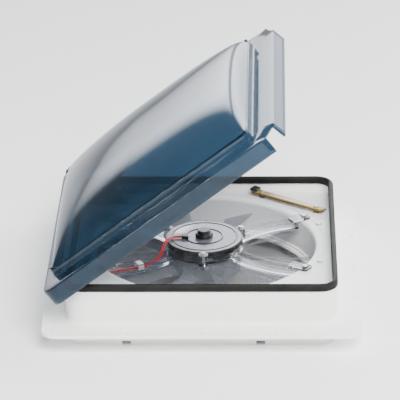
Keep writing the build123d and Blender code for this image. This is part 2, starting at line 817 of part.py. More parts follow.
def make_leaf_rivets(y):
    rivets = []
    outer = skirt_face - skirt_wall
    inner = skirt_face + leaf_thick
    for offset in (-1, 1):
        place = y + offset * hinge_width / 5
        shank = Pos((outer + inner) / 2, place, rivet_z) * Rot(0, 90, 0) * Cylinder(1.5, inner - outer)
        outside = Pos(outer - 0.5, place, rivet_z) * Rot(0, 90, 0) * Cylinder(3.0, 1.0)
        rivets.append(shank + outside)
    return rivets


# ---- lid ----
def crown_level(share, inset):
    """Left reach, right reach, half width and corner radius of the crown at a share of its height."""
    def fall(value, power):
        return (1 - value ** power) ** (1 / power)

    half_x = (riser_right - riser_left) / 2
    left = half_x * fall(share, crown_power_left)
    right = half_x * fall(share, crown_power_right)
    side = riser_half_width * fall(share, crown_power_y)
    diagonal = 1.0
    while fall(diagonal, crown_power_left) * fall(diagonal, crown_power_y) < share:
        diagonal -= 0.002
    corner = (left - diagonal * half_x + side - diagonal * riser_half_width) / 2 / 0.293
    corner = min(max(corner, riser_corner), 0.96 * min(left, side))
    return left - inset, right - inset, side - inset, max(corner - inset, 2.0)


def make_crown(inset):
    middle = (riser_left + riser_right) / 2
    sections = []
    for share in crown_shares:
        left, right, side, corner = crown_level(share, inset)
        height = riser_top + (crown_height - inset) * share
        outline = RectangleRounded(left + right, 2 * side, corner)
        sections.append(Pos(middle + (right - left) / 2, 0, height) * outline)
    return loft(sections, ruled=True)


def make_lid():
    middle = (riser_left + riser_right) / 2
    span = riser_right - riser_left
    edge_x = lid_length / 2
    edge_y = lid_width / 2
    low = skirt_bottom - 1
    body = slab(lid_length, lid_width, skirt_bottom, lid_top, lid_corner)
    body += block((0, edge_x), (-edge_y, edge_y), (skirt_bottom, lid_top))
    inside_y = edge_y - skirt_wall
    body -= slab(lid_length - 2 * skirt_wall, 2 * inside_y, low, lid_under, lid_corner - skirt_wall)
    body -= block((0, edge_x + 1), (-inside_y, inside_y), (low, lid_under))
    body -= block((edge_x - notch_x, edge_x + 1), (-edge_y - 1, edge_y + 1), (low, lid_under))
    for side in (-1, 1):
        corner = Polygon((edge_x - notch_x, side * edge_y), (edge_x, side * (edge_y - notch_y)),
                         (edge_x + 5, side * (edge_y + 5)), align=None)
        body -= Pos(0, 0, low) * extrude(corner, lid_top + 2 - skirt_bottom)
    half = edge_y - notch_y
    flare = block((-skirt_wall, 0), (-half, half), (-end_skirt_drop, lid_wall / 2))
    body += Pos(edge_x, 0, lid_under) * Rot(0, -end_skirt_flare, 0) * flare
    body += slab(span, 2 * riser_half_width, lid_under, riser_top, riser_corner, middle)
    body += make_crown(0.0)
    inner_span = span - 2 * lid_wall
    body -= slab(inner_span, 2 * riser_inner_y, lid_under - 1, riser_top, riser_corner - lid_wall, middle)
    body -= make_crown(lid_wall)
    for y in hinge_places:
        for offset in (-1, 1):
            body -= leaf_rivet_hole(y + offset * hinge_width / 5)
    for x in track_screws:
        body -= track_screw_hole(x, riser_inner_y - 1, riser_half_width + 1)
    return body


# ---- lift track on the lid, closed pose ----
def track_screw_hole(x, y_low, y_high):
    return rod(screw_radius + screw_clearance, y_low, y_high, x, track_z + track_screw_rise)


def make_lift_track():
    slot = roller_radius + roller_play
    low_z = track_z - slot - track_rim
    high_z = riser_top - 0.5
    body = block(track_ends, (track_low, riser_inner_y), (low_z, high_z))
    left = track_ends[0] + slot + track_rim
    right = track_ends[1] - slot - track_rim
    slot_y = (track_low - 1, track_low + track_depth)
    body -= block((left, right), slot_y, (track_z - slot, track_z + slot))
    for end in (left, right):
        body -= rod(slot, *slot_y, end, track_z)
    for x in track_screws:
        body -= track_screw_hole(x, track_low - 1, riser_inner_y + 1)
    return body


def make_track_screws():
    screws = []
    for x in track_screws:
        upright = screw(0, 0, 0, 9)
        screws.append(Pos(x, riser_half_width, track_z + track_screw_rise) * Rot(-90, 0, 0) * upright)
    return screws


# ---- lift arm and its gear, drawn along +X from the pivot ----
def raised(shape):
    """Turns a piece of the arm to its rest angle about the pivot."""
    return Pos(pivot_x, 0, pivot_z) * Rot(0, -lift_open, 0) * shape


def make_lift_arm():
    low = lift_y - lift_thick / 2
    high = lift_y + lift_thick / 2
    half = lift_width / 2
    body = block((0, lift_length), (low, high), (-half, half))
    body += rod(half + 0.4, low, high, 0, 0)
    body += rod(half, low, high, lift_length, 0)
    body -= block((14, lift_length - 14), (low - 1, low + 1.5), (-half + 2, half - 2))
    body -= rod(gear_sleeve_radius, low - 1, high - 2, 0, 0)
    body -= rod(lift_pin_radius + run_fit, low - 1, high + 1, 0, 0)
    return raised(body - rod(roller_pin_radius, low - 1, high + 1, lift_length, 0))


def make_lift_roller():
    low = lift_y - lift_thick / 2
    high = lift_y + lift_thick / 2
    body = rod(roller_pin_radius, low, high, lift_length, 0)
    return raised(body + rod(roller_radius, high, track_low + track_depth - 0.5, lift_length, 0))


def make_lift_gear():
    root = gear_radius - 1.25 * gear_module
    tip = gear_radius + 0.9 * gear_module
    body = rod(root, gear_y - gear_face / 2, gear_y + gear_face / 2, 0, 0)
    slope = tan(radians(20)) * gear_module
    for step in range(gear_teeth):
        flank = [(root - 0.5, tooth_half + 1.3 * slope), (gear_radius, tooth_half)]
        flank.append((tip, tooth_half - 1.15 * slope))
        other = [(x, -z) for x, z in reversed(flank)]
        with BuildSketch(Plane.XZ) as section:
            with BuildLine():
                Polyline(*flank, *other, close=True)
            make_face()
        tooth = Pos(0, gear_y + gear_face / 2, 0) * extrude(section.sketch, gear_face)
        body += Rot(0, (step + 0.5) * 360 / gear_teeth, 0) * tooth
    body += rod(gear_sleeve_radius, gear_y - gear_face / 2, lift_y + lift_thick / 2 - 2, 0, 0)
    body -= rod(lift_pin_radius + run_fit, gear_y - 10, lift_y + 10, 0, 0)
    return Pos(pivot_x, 0, pivot_z) * body


def make_lift_pin():
    front = gearbox_front - gearbox_wall
    head = lift_y + lift_thick / 2 + 0.2
    pin = rod(lift_pin_radius, front, head, pivot_x, pivot_z)
    return pin + rod(lift_pin_radius + 1.3, head, head + 1.2, pivot_x, pivot_z)


# ---- worm drive ----
def gearbox_hull(gap):
    left = pivot_x - gear_radius - gear_module - 1.0 - gearbox_wall
    right = crank_x + worm_pitch_radius + gear_module + 0.6 + gearbox_wall
    low = pivot_z - gear_radius - gear_module - 1.0 - gearbox_wall
    high = pivot_z + gear_radius + gear_module + 1.0
    x_range = (left - gap, right + gap)
    y_range = (gearbox_front - gearbox_wall - gap, gearbox_back + gearbox_wall + gap)
    return x_range, y_range, (low, high)


def gearbox_screws():
    (left, right), _, _ = gearbox_hull(0)
    return [(left - 4.5, gear_y), (right + 4.5, gear_y)]


def make_gearbox():
    (left, right), (front, back), (low, high) = gearbox_hull(0)
    wall = gearbox_wall
    body = block((left, right), (front, back), (low, high))
    middle = ((left + right) / 2, (front + back) / 2)
    body += slab(right - left + 18, back - front, deck_top, deck_top + 2, 3.0, *middle)
    body -= block((left + wall, right - wall), (front + wall, back - wall), (low + wall, high + 1))
    body += block((crank_x - 6, right), (front, back), (high - wall, high))
    for x, y in gearbox_screws():
        body -= screw_hole(x, y, deck_top - 1, deck_top + 3)
    body -= rod(lift_pin_radius, front - 1, gear_y, pivot_x, pivot_z)
    body -= rod(gear_sleeve_radius + run_fit, gear_y, back + 1, pivot_x, pivot_z)
    return body - disc(crank_shaft_radius + run_fit, low - 1, high + 1, crank_x, gear_y)


def make_worm():
    """Right-hand thread; at rest its crest faces the gap between two teeth of the gear."""
    root = worm_pitch_radius - 1.25 * gear_module
    tip = worm_pitch_radius + 0.9 * gear_module
    slope = tan(radians(20)) * gear_module
    path = Helix(pitch=worm_lead, height=worm_turns * worm_lead, radius=worm_pitch_radius)
    frame = Plane(origin=path @ 0, x_dir=(1, 0, 0), z_dir=path % 0)
    inner = root - 0.3 - worm_pitch_radius
    outer = tip - worm_pitch_radius
    wide = tooth_half - inner * slope
    narrow = tooth_half - outer * slope
    section = frame * Polygon((inner, wide), (inner, -wide), (outer, -narrow), (outer, narrow), align=None)
    thread = sweep(section, path=path, is_frenet=True)
    core = disc(root, 0, worm_turns * worm_lead)
    body = thread + core
    body &= disc(tip + 1, 0, worm_turns * worm_lead)
    body -= disc(crank_shaft_radius, -1, worm_turns * worm_lead + 1)
    return Pos(crank_x, gear_y, pivot_z - worm_turns * worm_lead / 2) * body


def make_crank_shaft():
    _, _, (_, high) = gearbox_hull(0)
    return disc(crank_shaft_radius, knob_top - 4, high, crank_x, gear_y)


def make_crank_knob():
    knob = disc(knob_radius, knob_top - 7, knob_top, crank_x, gear_y)
    knob = fillet(knob.edges().sort_by(Axis.Z)[0], 2.0)
    for step in range(8):
        x, y = polar(knob_radius + 2.5, step * 45)
        knob -= disc(4.0, knob_top - 8, knob_top + 1, crank_x + x, gear_y + y)
    knob += disc(4.5, knob_top - 15, knob_top - 6, crank_x + knob_radius - 7, gear_y)
    return knob - disc(crank_shaft_radius, knob_top - 4, knob_top + 1, crank_x, gear_y)


# ---- write the nodes ----
def main():
    lead_two = offset_route(lead_points, lead_spacing)
    gland_x = (lead_points[-1][0] + lead_two[-1][0]) / 2
    gland_y = (lead_points[-1][1] + lead_two[-1][1]) / 2
    box_top = bezel_top + control_height

    save("roof_flange", make_roof_flange())
    save("collar_seal", make_collar_seal())
    save("fan_shroud", make_fan_shroud())
    save("shroud_screws", [screw(x, y, deck_top, 14) for x, y in pillar_places])
    save("bezel_frame", make_bezel())
    save("bezel_screws", [screw(x, y, bezel_bottom, 13, up=-1) for x, y in pillar_places])
    save("screen_frame", make_screen_frame())
    screen_low = bezel_bottom - screen_frame_thick + 1.4
    save("insect_screen", disc(screen_radius, screen_low, screen_low + screen_thick))
    frame_low = bezel_bottom - screen_frame_thick
    save("screen_screws", [screw(x, y, frame_low, 6.5, up=-1) for x, y in screen_screws()])

    save("motor_bracket", make_motor_bracket())
    feet = [polar(foot_radius, angle) for angle in foot_angles]
    save("bracket_screws", [screw(x, y, deck_top + foot_thick, 9) for x, y in feet])
    save("motor_can", make_motor_can())
    save("motor_bearing", ring(5.5, shaft_radius + run_fit, motor_bottom, motor_bottom + 3.5))
    save("motor_stator", ring(motor_radius - 2, 27.5, motor_bottom + 4, plate_bottom - 1.5))
    save("motor_plate", make_motor_plate())
    save("motor_plate_rings", make_plate_rings())
    ears = [polar(ear_radius, angle) for angle in ear_angles]
    save("motor_screws", [screw(x, y, plate_top, 12, 3.5, 1.5) for x, y in ears])
    save("motor_boss", make_motor_boss())
    save("motor_boss_cap", disc(boss_radius - 4, plate_top + 9, plate_top + 10))
    save("lead_grommet", block((-30, -21), (-9.5, 1.0), (plate_top, plate_top + 4.2)))
    save("motor_lead_positive", lead_tube(lead_points, "positive lead"))
    save("motor_lead_negative", lead_tube(lead_two, "negative lead"))
    save("lead_clip", make_lead_clip())
    save("lead_gland", disc(4.5, box_top, lead_points[-1][2], gland_x, gland_y))

    save("rain_sensor_board", make_sensor_board())
    save("rain_sensor_holder", make_sensor_holder())
    save("rain_sensor_plug", make_sensor_plug())
    sensor_top = sensor_bottom + sensor_thick
    save("rain_sensor_screws", [screw(x, y, sensor_top, 9.5, 3.0) for x, y in sensor_posts()])

    save("control_box", make_control_box(1))
    save("junction_box", make_control_box(-1))
    boxes = box_screws(1) + box_screws(-1)
    save("control_box_screws", [screw(x, y, bezel_bottom, 11, 3.0, up=-1) for x, y in boxes])
    save("control_board", make_control_board())
    save("potentiometer", make_potentiometer())
    save("switch_body", make_switch_body())
    half = rocker_width / 2 + 1.0
    save("rocker_pin", rod(rocker_pin_radius, control_y - half, control_y + half, -control_x, rocker_z))
    save("power_terminals", make_terminals())

    save("hinge_brackets", [make_hinge_bracket(y) for y in hinge_places])
    save("hinge_screws", [piece for y in hinge_places for piece in make_hinge_screws(y)])
    save("hinge_pins", [make_hinge_pin(y) for y in hinge_places])
    save("lid_hinge_leaves", [opened(make_lid_leaf(y)) for y in hinge_places])
    save("lid_hinge_rivets", [opened(piece) for y in hinge_places for piece in make_leaf_rivets(y)])
    save("lid_dome", opened(make_lid()))
    save("lift_track", opened(make_lift_track()))
    save("lift_track_screws", [opened(piece) for piece in make_track_screws()])

    save("lift_arm", make_lift_arm())
    save("lift_roller", make_lift_roller())
    save("lift_gear", make_lift_gear())
    save("lift_arm_pin", make_lift_pin())
    save("lift_gearbox", make_gearbox())
    save("gearbox_screws", [screw(x, y, deck_top + 2, 8, 3.2) for x, y in gearbox_screws()])
    save("crank_shaft", make_crank_shaft())
    save("crank_worm", make_worm())
    save("crank_knob", make_crank_knob())

    save("fan_impeller", make_fan())
    save("motor_shaft", disc(shaft_radius, hub_bottom, plate_bottom - 1))
    save("motor_rotor", ring(26.5, shaft_radius, motor_bottom + 4.5, plate_bottom - 2))
    save("fan_hub_nut", disc(6, hub_bottom - 2.5, hub_bottom))
    save("speed_knob", make_speed_knob())
    save("rocker_switch", make_rocker())
    print("lift arm", round(lift_closed, 3), "to", round(lift_open, 3), "ratio", round(lift_ratio, 6))


main()
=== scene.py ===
import json
import math
import bmesh
import bpy
import numpy as np
from mathutils import Matrix, Vector


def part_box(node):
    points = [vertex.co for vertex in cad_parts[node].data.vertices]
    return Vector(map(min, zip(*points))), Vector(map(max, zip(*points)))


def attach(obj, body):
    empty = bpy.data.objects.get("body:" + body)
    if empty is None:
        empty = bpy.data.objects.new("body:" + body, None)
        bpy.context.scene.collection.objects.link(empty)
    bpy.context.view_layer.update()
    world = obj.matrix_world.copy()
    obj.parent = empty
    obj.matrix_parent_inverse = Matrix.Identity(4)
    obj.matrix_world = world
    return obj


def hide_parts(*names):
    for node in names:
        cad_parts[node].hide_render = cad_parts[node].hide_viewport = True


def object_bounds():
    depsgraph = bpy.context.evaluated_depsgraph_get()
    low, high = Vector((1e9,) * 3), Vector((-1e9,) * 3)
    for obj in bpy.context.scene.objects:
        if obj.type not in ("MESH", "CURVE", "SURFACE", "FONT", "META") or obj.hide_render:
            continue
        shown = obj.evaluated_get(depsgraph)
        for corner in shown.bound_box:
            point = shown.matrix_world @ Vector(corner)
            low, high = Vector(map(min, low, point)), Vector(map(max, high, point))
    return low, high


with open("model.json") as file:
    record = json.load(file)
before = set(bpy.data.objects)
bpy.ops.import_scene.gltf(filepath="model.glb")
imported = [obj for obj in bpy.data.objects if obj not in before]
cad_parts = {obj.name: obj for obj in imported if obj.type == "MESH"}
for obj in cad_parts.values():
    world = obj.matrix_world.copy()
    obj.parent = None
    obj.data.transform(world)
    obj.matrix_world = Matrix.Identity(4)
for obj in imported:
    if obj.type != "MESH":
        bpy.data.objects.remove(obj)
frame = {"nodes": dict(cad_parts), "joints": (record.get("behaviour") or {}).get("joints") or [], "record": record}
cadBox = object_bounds()
nodes = frame["nodes"]
joints = {joint["name"]: joint for joint in frame["joints"]}
mm = 0.001


# camera
view = {
    "place": (0.0945, -3.3381, 1.5946),   # metres
    "aim": (-0.02719, 0.91278, -0.40755),
    "roll": -0.81,                         # degrees
    "lens": 243.0,
}


def makeCamera():
    data = bpy.data.cameras.new("camera")
    data.lens = view["lens"]
    data.sensor_width = 36.0
    data.clip_end = 100.0
    camera = bpy.data.objects.new("camera", data)
    bpy.context.scene.collection.objects.link(camera)
    aim = Vector(view["aim"]).normalized()
    right = aim.cross(Vector((0, 0, 1))).normalized()
    up = right.cross(aim)
    roll = math.radians(view["roll"])
    rolledRight = math.cos(roll) * right + math.sin(roll) * up
    rolledUp = math.cos(roll) * up - math.sin(roll) * right
    turn = Matrix((rolledRight, rolledUp, -aim)).transposed()
    camera.matrix_world = Matrix.Translation(view["place"]) @ turn.to_4x4()
    bpy.context.scene.camera = camera


# shader maths
class Wire:
    # Wraps one output socket, so that sums on it add Math nodes.

    def __init__(self, finish, socket):
        self.finish = finish
        self.socket = socket

    def maths(self, operation, *values):
        return self.finish.node("ShaderNodeMath", {"operation": operation}, dict(enumerate(values)))

    def __add__(self, other):
        return self.maths("ADD", self, other)

    def __radd__(self, other):
        return self.maths("ADD", other, self)

    def __sub__(self, other):
        return self.maths("SUBTRACT", self, other)

    def __rsub__(self, other):
        return self.maths("SUBTRACT", other, self)

    def __mul__(self, other):
        return self.maths("MULTIPLY", self, other)

    def __rmul__(self, other):
        return self.maths("MULTIPLY", other, self)

    def over(self, edge):
        return self.maths("GREATER_THAN", self, edge)

    def clamped(self):
        return self.maths("MAXIMUM", self.maths("MINIMUM", self, 1.0), 0.0)

    def unsigned(self):
        return self.maths("ABSOLUTE", self)

    def fraction(self):
        return self.maths("FRACT", self)


class Finish:
    # A material with one Principled shader; fixed numbers go straight on its sockets.

    def __init__(self, name, fixed):
        self.material = bpy.data.materials.new(name)
        self.material.use_nodes = True
        self.tree = self.material.node_tree
        self.shader = self.tree.nodes["Principled BSDF"]
        for socket, value in fixed.items():
            self.shader.inputs[socket].default_value = value

    def feed(self, target, value):
        if isinstance(value, Wire):
            self.tree.links.new(value.socket, target)
        else:
            target.default_value = value

    def node(self, kind, settings, sockets, output=0):
        made = self.tree.nodes.new(kind)
        for key, value in settings.items():
            setattr(made, key, value)
        for key, value in sockets.items():
            self.feed(made.inputs[key], value)
        return Wire(self, made.outputs[output])

    def place(self):
        return self.node("ShaderNodeTexCoord", {}, {}, "Object")

    def noise(self, scale, detail=3.0, rough=0.5):
        sockets = {"Vector": self.place(), "Scale": scale, "Detail": detail, "Roughness": rough}
        return self.node("ShaderNodeTexNoise", {}, sockets, "Fac")

    def mix(self, factor, first, second):
        shades = [colour if isinstance(colour, Wire) else (*colour, 1.0) for colour in (first, second)]
        sockets = {0: factor, 6: shades[0], 7: shades[1]}
        return self.node("ShaderNodeMix", {"data_type": "RGBA"}, sockets, 2)

    def seeThrough(self, tint, share):
        # mixes in a tinted clear shader, so that what is behind shows in the tint
        clear = self.node("ShaderNodeBsdfTransparent", {}, {"Color": (*tint, 1.0)})
        gloss = Wire(self, self.shader.outputs[0])
        mixed = self.node("ShaderNodeMixShader", {}, {0: share, 1: clear, 2: gloss})
        self.tree.links.new(mixed.socket, self.tree.nodes["Material Output"].inputs["Surface"])

    def bump(self, height, strength, distance):
        sockets = {"Height": height, "Strength": strength, "Distance": distance}
        self.set("Normal", self.node("ShaderNodeBump", {}, sockets))

    def set(self, socket, value):
        self.feed(self.shader.inputs[socket], value)


def axis(finish, index):
    # One coordinate of the object's own space.
    return finish.node("ShaderNodeSeparateXYZ", {}, {"Vector": finish.place()}, index)


# floor and light
studio = {
    "dim": (0.30, 0.32, 0.36),              # world colour away from the bright wall behind
    "bright": (15.2, 15.5, 16.2),           # and on it
    "wallEdge": (0.82, 0.905),              # cosines to the back between which it comes on
    "gapShare": 0.25,                       # of the wall's light that is left in its dark gap
    "wallGap": -0.027,                      # where that gap is, so that level faces mirror it
    "wallSide": (0.02, 0.12),               # distances from the gap between which the wall comes on
    "wallFoot": 0.17, "wallRise": 0.34,     # share of it at eye level, and the height where it is whole
    "floor": (0.95, 0.95, 0.95), "floorReach": 12.0,
    "lamps": (  # name, place, size, watts
        ("key", (0.9, -2.4, 3.0), 2.2, 400.0),
        ("fill", (2.6, 0.8, 1.5), 2.0, 110.0),
        ("edges", (-1.8, -2.9, 0.95), 0.35, 30.0),
    ),
}


class Room(Finish):
    # the same node methods, on the world

    def __init__(self, world):
        world.use_nodes = True
        self.tree = world.node_tree
        self.shader = self.tree.nodes["Background"]


def makeStudio():
    # the wall's share is a smoothstep of the reach backwards, times one of the distance
    # from its gap, times a ramp of height
    scene = bpy.context.scene
    scene.world = bpy.data.worlds.new("studio")
    room = Room(scene.world)
    toward = room.node("ShaderNodeTexCoord", {}, {}, "Generated")
    back = room.node("ShaderNodeSeparateXYZ", {}, {0: toward}, "Y")
    across = room.node("ShaderNodeSeparateXYZ", {}, {0: toward}, "X")
    aside = (across - studio["wallGap"]).unsigned()
    height = room.node("ShaderNodeSeparateXYZ", {}, {0: toward}, "Z")
    smooth = {"interpolation_type": "SMOOTHSTEP"}
    limits = ((back, studio["wallEdge"], 0.0), (aside, studio["wallSide"], studio["gapShare"]))
    wall = 1.0
    for value, (low, high), least in limits:
        step = {"Value": value, "From Min": low, "From Max": high, "To Min": least}
        wall = wall * room.node("ShaderNodeMapRange", smooth, step)
    rise = {"Value": height, "From Min": 0.0, "From Max": studio["wallRise"], "To Min": studio["wallFoot"]}
    wall = wall * room.node("ShaderNodeMapRange", {}, rise)
    room.set("Color", room.mix(wall, studio["dim"], studio["bright"]))
    for name, place, size, watts in studio["lamps"]:
        data = bpy.data.lights.new(name, "AREA")
        data.size = size
        data.energy = watts
        lamp = bpy.data.objects.new(name, data)
        scene.collection.objects.link(lamp)
        lamp.location = place
        lamp.rotation_euler = (Vector((0, 0, 0.1)) - Vector(place)).to_track_quat("-Z", "Y").to_euler()
    low = cadBox[0][2]
    reach = studio["floorReach"]
    corners = [(-reach, -reach, low), (reach, -reach, low), (reach, reach, low), (-reach, reach, low)]
    mesh = bpy.data.meshes.new("floor")
    mesh.from_pydata(corners, [], [(0, 1, 2, 3)])
    floor = bpy.data.objects.new("floor", mesh)
    scene.collection.objects.link(floor)
    paper = Finish("floorPaper", {"Base Color": (*studio["floor"], 1.0), "Roughness": 0.9})
    mesh.materials.append(paper.material)


# finishes
def whitePlastic(name, colour, shade):
    # Moulded ABS: a warm white with faint clouding, handling marks and a fine spark-eroded grain.
    finish = Finish(name, {"Specular IOR Level": 0.45})
    cloud = finish.noise(9.0, 4.0, 0.6)
    speck = finish.noise(140.0, 2.0)
    grime = (cloud * 1.3 - 0.35).clamped() * 0.5 + speck * 0.12
    finish.set("Base Color", finish.mix(grime.clamped(), colour, shade))
    finish.set("Roughness", 0.36 + 0.16 * finish.noise(60.0))
    finish.bump(finish.noise(1700.0, 2.0), 0.10, 0.0002)
    return finish


def sealRubber():
    # EPDM seal: near black, with a chalky bloom and fine drag lines.
    finish = Finish("sealRubber", {"Specular IOR Level": 0.10})
    bloom = finish.noise(38.0, 4.0, 0.65)
    chalk = (bloom * 1.4 - 0.45).clamped()
    finish.set("Base Color", finish.mix(chalk, (0.007, 0.007, 0.0065), (0.022, 0.021, 0.019)))
    finish.set("Roughness", 0.42 + 0.25 * bloom)
    finish.bump(finish.noise(900.0, 3.0), 0.25, 0.0002)
    return finish


lidTint = {
    "deep": (0.004, 0.012, 0.022),
    "pale": (0.008, 0.022, 0.036),
    "clear": (0.33, 0.53, 0.70),
    "share": 0.70,   # of the glossy shader; the rest is clear
}


def smokePlastic():
    # polished tinted polycarbonate, slightly uneven in depth, with faint wiping marks
    finish = Finish("smokePlastic", {"IOR": 1.58, "Specular IOR Level": 0.32})
    drift = finish.noise(5.0, 3.0)
    finish.set("Base Color", finish.mix(drift, lidTint["deep"], lidTint["pale"]))
    marks = finish.noise(70.0, 2.0, 0.6)
    finish.set("Roughness", 0.06 + 0.03 * marks + 0.03 * drift)
    finish.bump(finish.noise(9.0, 2.0), 0.01, 0.0004)
    finish.seeThrough(lidTint["clear"], lidTint["share"])
    return finish


def clearPlastic(name, colour, rough):
    # clear moulding: light goes through and bends, with faint flow marks on the skin
    fixed = {"Transmission Weight": 1.0, "IOR": 1.46, "Specular IOR Level": 0.6}
    finish = Finish(name, fixed)
    flow = finish.noise(32.0, 4.0, 0.6)
    finish.set("Base Color", finish.mix(flow, colour, tuple(0.92 * part for part in colour)))
    finish.set("Roughness", rough + 0.06 * flow)
    finish.bump(finish.noise(120.0, 3.0), 0.05, 0.0006)
    return finish


def fanPlastic():
    # thin smoky clear blades: grey body, half seen through, with faint clouding
    finish = Finish("fanPlastic", {"IOR": 1.5})
    cloud = finish.noise(14.0, 3.0)
    finish.set("Base Color", finish.mix(cloud, (0.34, 0.35, 0.37), (0.24, 0.25, 0.27)))
    finish.set("Roughness", 0.16 + 0.12 * cloud)
    finish.bump(finish.noise(60.0, 2.0), 0.04, 0.0008)
    finish.seeThrough((0.86, 0.87, 0.90), 0.22)
    return finish


def paintedMetal(name, colour, rough, metallic=0.0):
    # paint whose colour and gloss drift a little together, with a fine orange peel
    finish = Finish(name, {"Metallic": metallic, "Specular IOR Level": 0.5})
    drift = finish.noise(55.0, 4.0)
    finish.set("Base Color", finish.mix(drift, colour, tuple(0.78 * part for part in colour)))
    finish.set("Roughness", rough + 0.14 * (drift - 0.5))
    finish.bump(finish.noise(1300.0, 2.0), 0.12, 0.0001)
    return finish


def turnedMetal(name, colour, rough):
    # Plated steel, bronze or copper with fine circular tool lines and darker handling marks.
    finish = Finish(name, {"Metallic": 1.0})
    marks = finish.noise(240.0, 4.0, 0.6)
    worn = (marks * 1.6 - 0.5).clamped()
    finish.set("Base Color", finish.mix(worn, colour, tuple(0.55 * part for part in colour)))
    finish.set("Roughness", rough + 0.2 * (marks - 0.5))
    finish.bump(finish.noise(2200.0, 2.0), 0.15, 0.00008)
    return finish


def mattePlastic(name, colour, rough=0.5):
    # plain moulding whose colour and roughness drift with one noise, with a fine grain
    finish = Finish(name, {"Specular IOR Level": 0.45})
    drift = finish.noise(90.0, 3.0)
    lighter = tuple(min(1.0, 1.35 * part + 0.004) for part in colour)
    finish.set("Base Color", finish.mix(drift, colour, lighter))
    finish.set("Roughness", rough + 0.16 * (drift - 0.5))
    finish.bump(finish.noise(1500.0, 2.0), 0.2, 0.00012)
    return finish


def sensorGold(name, light, dark):
    # plated board: amber lacquer that drifts in colour, with fine drag lines
    finish = Finish(name, {"Specular IOR Level": 0.3})
    drift = finish.noise(70.0, 4.0)
    finish.set("Base Color", finish.mix(drift, dark, light))
    finish.set("Roughness", 0.30 + 0.2 * drift)
    finish.set("Metallic", 0.05 + 0.2 * drift)
    finish.bump(finish.noise(800.0, 2.0), 0.2, 0.0001)
    return finish


def boardGreen():
    # lacquered board: a square wave of X plus one of Y makes the tracks
    finish = Finish("boardGreen", {"Coat Weight": 0.4})
    alongX = (axis(finish, "X") * 420.0).fraction().over(0.5)
    alongY = (axis(finish, "Y") * 260.0).fraction().over(0.6)
    tracks = (alongX + alongY) * 0.5
    finish.set("Base Color", finish.mix(tracks, (0.012, 0.10, 0.035), (0.03, 0.19, 0.07)))
    finish.set("Roughness", 0.3 + 0.15 * tracks)
    finish.bump(tracks, 0.2, 0.0001)
    return finish


finishes = {
    "white_plastic": whitePlastic("whitePlastic", (0.90, 0.893, 0.865), (0.80, 0.79, 0.755)),
    "seal_rubber": sealRubber(),
    "smoke_plastic": smokePlastic(),
    "clear_plastic": clearPlastic("clearPlastic", (0.97, 0.98, 1.0), 0.02),
    "motor_black": paintedMetal("motorBlack", (0.014, 0.014, 0.016), 0.34),
    "plate_grey": paintedMetal("plateGrey", (0.24, 0.24, 0.27), 0.27, 0.35),
    "black_plastic": mattePlastic("blackPlastic", (0.012, 0.012, 0.013), 0.35),
    "steel": turnedMetal("steel", (0.62, 0.62, 0.63), 0.32),
    "bronze": turnedMetal("bronze", (0.55, 0.34, 0.14), 0.4),
    "copper": turnedMetal("copper", (0.60, 0.24, 0.09), 0.35),
    "red_sleeve": mattePlastic("redSleeve", (0.50, 0.012, 0.018), 0.35),
    "white_nylon": mattePlastic("whiteNylon", (0.78, 0.78, 0.76), 0.45),
    "sensor_gold": sensorGold("sensorGold", (0.50, 0.36, 0.13), (0.28, 0.18, 0.05)),
    "board_green": boardGreen(),
    "screen_mesh": paintedMetal("screenMesh", (0.05, 0.05, 0.055), 0.45, 0.5),
}
shroudFinish = whitePlastic("shroudPlastic", (0.80, 0.805, 0.80), (0.68, 0.69, 0.685))
fanFinish = fanPlastic()
# the holder wears a darker copy of the board's plated gold: painted shade standing for the darker sides of the
# sensor
holderShadedGold = sensorGold("sensorSidePaintedShade", (0.16, 0.10, 0.035), (0.06, 0.04, 0.02))
ownFinish = {"fan_shroud": shroudFinish, "fan_impeller": fanFinish, "rain_sensor_holder": holderShadedGold}


def dressNodes():
    # Every carried node takes the finish of its slot in the record.
    slots = {part["node"]: part["material_slot"] for part in frame["record"]["subparts"]}
    for name, node in nodes.items():
        finish = ownFinish.get(name, finishes.get(slots.get(name), finishes["black_plastic"]))
        if not node.material_slots:
            node.data.materials.append(finish.material)
        for held in node.material_slots:
            held.material = finish.material


# surfaces
def gridFaces(rows, columns, closeRows, closeColumns):
    # Quads of a rows by columns grid of vertices, wrapping round where it is closed.
    down = np.arange(rows if closeRows else rows - 1)
    across = np.arange(columns if closeColumns else columns - 1)
    row, column = np.meshgrid(down, across, indexing="ij")
    nextRow = (row + 1) % rows
    nextColumn = (column + 1) % columns
    here, below = row * columns, nextRow * columns
    return np.stack([here + column, here + nextColumn, below + nextColumn, below + column], -1).reshape(-1, 4)


class Shape:
    # Gathers points in mm and faces, then writes one object in metres.

    def __init__(self):
        self.points = []
        self.faces = []
        self.count = 0

    def add(self, points, faces):
        points = np.asarray(points, float).reshape(-1, 3)
        self.points.append(points)
        self.faces.extend((np.asarray(face) + self.count).tolist() for face in faces)
        self.count += len(points)

    def grid(self, points, closeRows=False, closeColumns=False):
        rows, columns = points.shape[:2]
        self.add(points, gridFaces(rows, columns, closeRows, closeColumns))

    def fan(self, ring, centre):
        # Closes a ring of points onto one centre point.
        count = len(ring)
        index = np.arange(count)
        faces = np.stack([index, (index + 1) % count, np.full(count, count)], -1)
        self.add(np.vstack([ring, centre]), faces)

    def make(self, name, finish, body, merge=0.0, smooth=True):
        mesh = bpy.data.meshes.new(name)
        mesh.from_pydata((np.vstack(self.points) * mm).tolist(), [], self.faces)
        tidyMesh(mesh, merge)
        mesh.polygons.foreach_set("use_smooth", np.full(len(mesh.polygons), smooth))
        mesh.materials.append(finish.material)
        piece = bpy.data.objects.new(name, mesh)
        bpy.context.scene.collection.objects.link(piece)
        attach(piece, body)
        return piece


def tidyMesh(mesh, merge):
    work = bmesh.new()
    work.from_mesh(mesh)
    if merge:
        bmesh.ops.remove_doubles(work, verts=work.verts, dist=merge * mm)
    bmesh.ops.recalc_face_normals(work, faces=work.faces)
    work.to_mesh(mesh)
    work.free()


